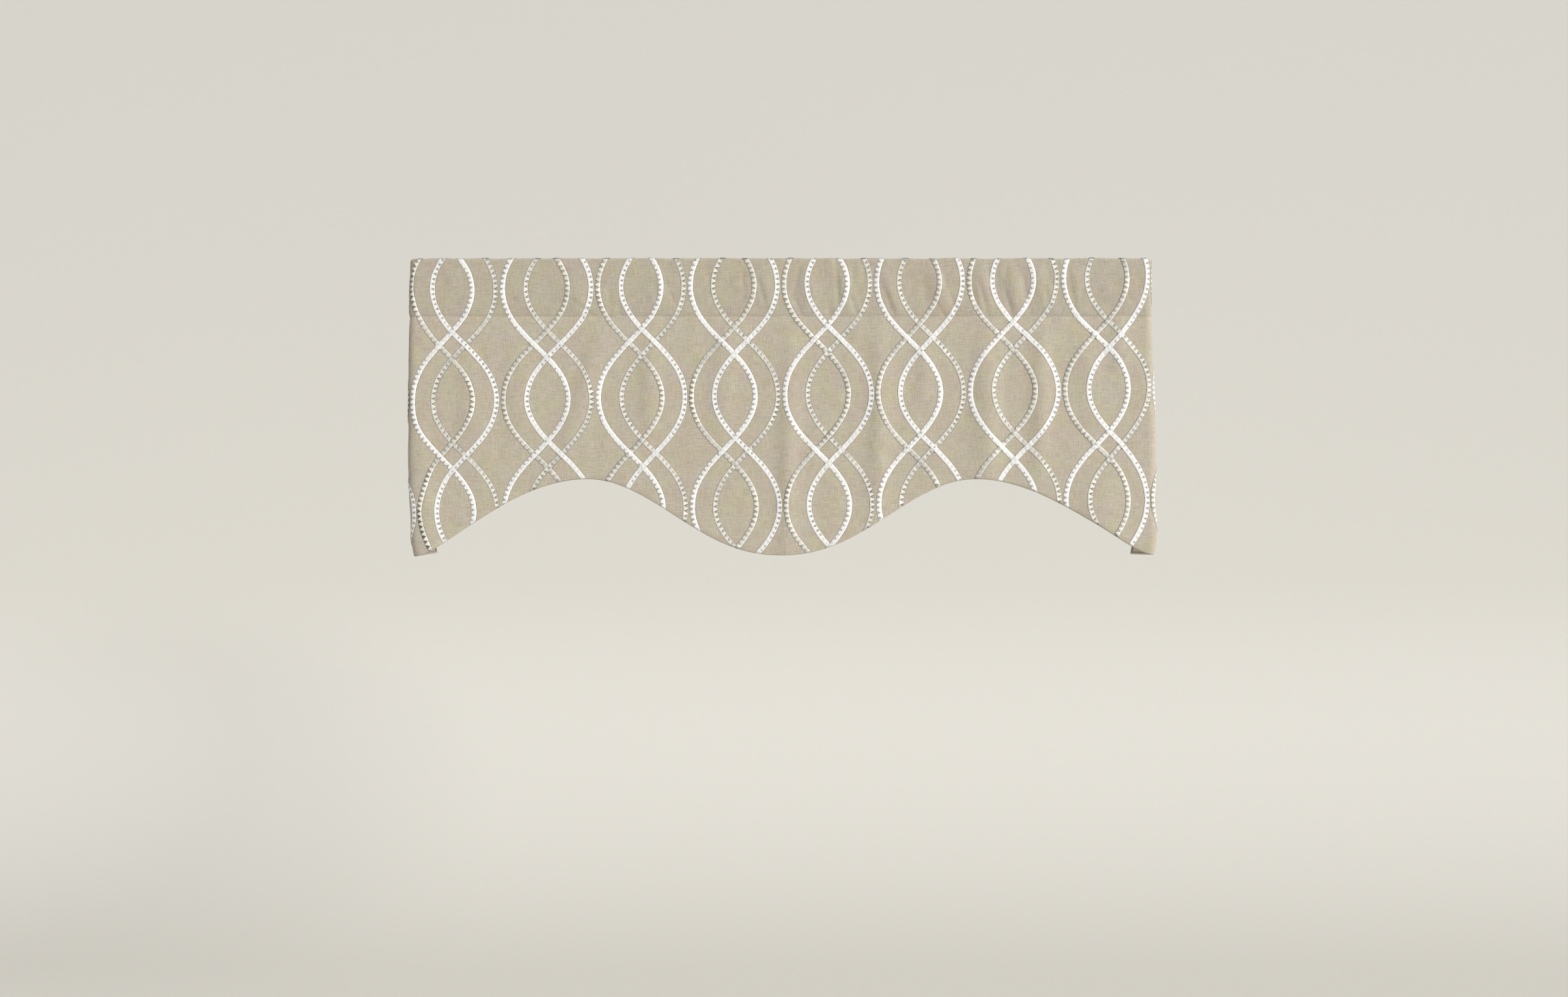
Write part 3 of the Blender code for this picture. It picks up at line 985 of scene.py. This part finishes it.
def woven_material(name, cloth):
    """Plain weave with uneven yarns, which follow the cloth's own flat layout."""
    material, tree, shader = new_material(name, cloth.roughness, cloth.sheen, specular=0.25)
    layout = add_node(tree, "ShaderNodeUVMap", {}, uv_map="cloth").outputs[0]
    parts = add_node(tree, "ShaderNodeSeparateXYZ", {0: layout}).outputs
    bend = maths(tree, "MULTIPLY", noise(tree, layout, YARN_BEND_SCALE), YARN_BEND)
    threads = []
    for part in parts[:2]:
        turns = maths(tree, "MULTIPLY_ADD", part, TAU / cloth.pitch, bend)
        threads.append(maths(tree, "SINE", turns))
    weave = maths(tree, "MULTIPLY", *threads)
    yarns = yarn_shades(tree, layout)
    tone = maths(tree, "MULTIPLY_ADD", yarns, cloth.slub, 1.0)
    tone = maths(tree, "MULTIPLY_ADD", weave, WEAVE_TONE, tone)
    # Painted shade: the cloth over the pocket, above the seam, is a little darker
    pocket = ramp(tree, parts[1], -SEAM_DROP - POCKET_EDGE, -SEAM_DROP + POCKET_EDGE, 1.0, cloth.pocket_tone)
    tone = maths(tree, "MULTIPLY", tone, pocket)
    colour = mottled(tree, layout, cloth.colour)
    tree.links.new(scaled(tree, colour, tone), shader.inputs["Base Color"])
    set_bump(tree, shader, maths(tree, "MULTIPLY_ADD", weave, WEAVE_HEIGHT, yarns), CLOTH_BUMP)
    return material


def mixed(tree, amount, first, second):
    inputs = {0: amount, 6: first, 7: (*second, 1.0)}
    return add_node(tree, "ShaderNodeMix", inputs, data_type="RGBA").outputs[2]


def satin_material(name, thread):
    """Satin thread: wedge colours with painted sheen, painted shade in cores and outlines, and fine parallel
    threads.
    """
    material, tree, shader = new_material(name, thread.roughness, sheen=0.1, specular=0.5)
    colour = add_node(tree, "ShaderNodeAttribute", {}, attribute_name="thread").outputs["Color"]
    core = add_node(tree, "ShaderNodeAttribute", {}, attribute_name="core").outputs["Fac"]
    edge = add_node(tree, "ShaderNodeAttribute", {}, attribute_name="edge").outputs["Fac"]
    stitch = add_node(tree, "ShaderNodeAttribute", {}, attribute_name="stitch").outputs["Vector"]
    run, to_upper, inside = add_node(tree, "ShaderNodeSeparateXYZ", {0: stitch}).outputs
    # Painted shade: a dark core in each dull wedge, strongest just below the wedge above
    grown = maths(tree, "MULTIPLY_ADD", core, CORE_GROWTH, inside)
    inner = ramp(tree, grown, *CORE_INSIDE, 0.0, CORE_DEPTH)
    filled = ramp(tree, core, *CORE_FILLED, 0.0, 1.0)
    shadow = maths(tree, "MAXIMUM", ramp(tree, to_upper, *CORE_SHADOW, 1.0, thread.reach), filled)
    dull = ramp(tree, core, 0.0, CORE_MASK, 0.0, 1.0)
    amount = maths(tree, "MULTIPLY", maths(tree, "MULTIPLY", inner, shadow), dull)
    shaded = mixed(tree, amount, colour, thread.dye.core)
    # Painted shadow along the wedges' outer sides
    outlined = mixed(tree, ramp(tree, edge, 0.0, OUTLINE_EDGE, 0.0, 1.0), shaded, PAINTED_OUTLINE_SHADOW)
    threads = maths(tree, "SINE", maths(tree, "MULTIPLY", run, TAU / THREAD_PITCH))
    tone = maths(tree, "MULTIPLY_ADD", threads, THREAD_TONE, 1.0)
    tree.links.new(scaled(tree, outlined, tone), shader.inputs["Base Color"])
    set_bump(tree, shader, threads, SATIN_BUMP)
    return material


def thread_material(name, colour):
    material, tree, shader = new_material(name, roughness=0.6, sheen=0.1, specular=0.3)
    at = add_node(tree, "ShaderNodeTexCoord", {}).outputs["Object"]
    tone = maths(tree, "MULTIPLY_ADD", noise(tree, at, SEAM_FIBRES), SEAM_UNEVEN, SEAM_TONE)
    tree.links.new(scaled(tree, colour, tone), shader.inputs["Base Color"])
    return material


def plain_material(name, colour):
    material, _, shader = new_material(name, roughness=0.9, sheen=0.0, specular=0.2)
    shader.inputs["Base Color"].default_value = (*colour, 1.0)
    return material


# ---- Stage, lights and camera ----


def make_stage():
    """A pale floor that curves up into a pale backdrop."""
    profile = [(FLOOR_FRONT, FLOOR_Z)]
    for angle in np.linspace(0, math.pi / 2, BEND_POINTS):
        profile.append((WALL_Y - BEND + BEND * math.sin(angle), FLOOR_Z + BEND * (1 - math.cos(angle))))
    profile.append((WALL_Y, WALL_TOP))
    points = np.array([[(x, y, z) for x in (-STAGE_SIDE, STAGE_SIDE)] for y, z in profile])
    stage = add_object("stage", points, grid_faces(*points.shape[:2]))
    stage.data.materials.append(plain_material("backdrop", BACKDROP))


def add_light(name, light, at):
    """A light that shines from there on the middle of the valance."""
    lamp = bpy.data.objects.new(name, light)
    lamp.location = at
    lamp.rotation_euler = (Vector(LIGHT_AIM) - Vector(at)).to_track_quat("-Z", "Y").to_euler()
    bpy.context.scene.collection.objects.link(lamp)


def make_lights():
    world = bpy.data.worlds.new("studio")
    world.use_nodes = True
    background = world.node_tree.nodes["Background"]
    background.inputs["Color"].default_value = (*LIGHT_TONE, 1.0)
    background.inputs["Strength"].default_value = AMBIENT
    bpy.context.scene.world = world

    key = bpy.data.lights.new("key", "SUN")
    key.energy = KEY_ENERGY
    key.angle = KEY_ANGLE
    key.color = LIGHT_TONE
    add_light("key", key, KEY_AT)

    fill = bpy.data.lights.new("fill", "AREA")
    fill.size = FILL_SIZE
    fill.energy = FILL_ENERGY
    add_light("fill", fill, FILL_AT)


def make_camera():
    data = bpy.data.cameras.new("camera")
    data.sensor_width = SENSOR
    data.lens = SENSOR * (FRONT_PLANE - CAMERA_AT.y) / (PIXELS_WIDE * METRES_PER_PIXEL)
    camera = bpy.data.objects.new("camera", data)
    camera.location = CAMERA_AT
    camera.rotation_euler = (math.pi / 2, 0, 0)
    bpy.context.scene.collection.objects.link(camera)
    bpy.context.scene.camera = camera


# ---- The valance ----


def area_between(half_width, top, end):
    """The area of a flat cut from its top edge to its end, which is a function of along."""
    along = np.linspace(-half_width, half_width, AREA_POINTS)
    depth = end(turned_side(along, 0.0)[0]) - top
    return ((depth[1:] + depth[:-1]) / 2 * np.diff(along)).sum()


def make_valance():
    face = make_face()
    lining = make_lining()
    white = make_embroidery("embroidery_white", True)
    silver = make_embroidery("embroidery_silver", False)
    stitches = make_stitches()
    face.data.materials.append(woven_material("linen", LINEN))
    lining.data.materials.append(woven_material("sateen", SATEEN))
    white.data.materials.append(satin_material("white_satin", WHITE))
    silver.data.materials.append(satin_material("silver_satin", SILVER))
    stitches.data.materials.append(thread_material("seam_thread", SEAM_THREAD))

    for piece in (face, lining, white, silver, stitches):
        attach(piece, "root")
    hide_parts("face_panel")
    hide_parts("lining")
    face_area = area_between(CLOTH_SIDE, CLOTH_TOP, cloth_end)
    lining_area = area_between(LINING_END, LINING_TOP, hem_start)


bpy.context.scene.view_settings.view_transform = "Standard"
make_valance()
make_stage()
make_lights()
make_camera()
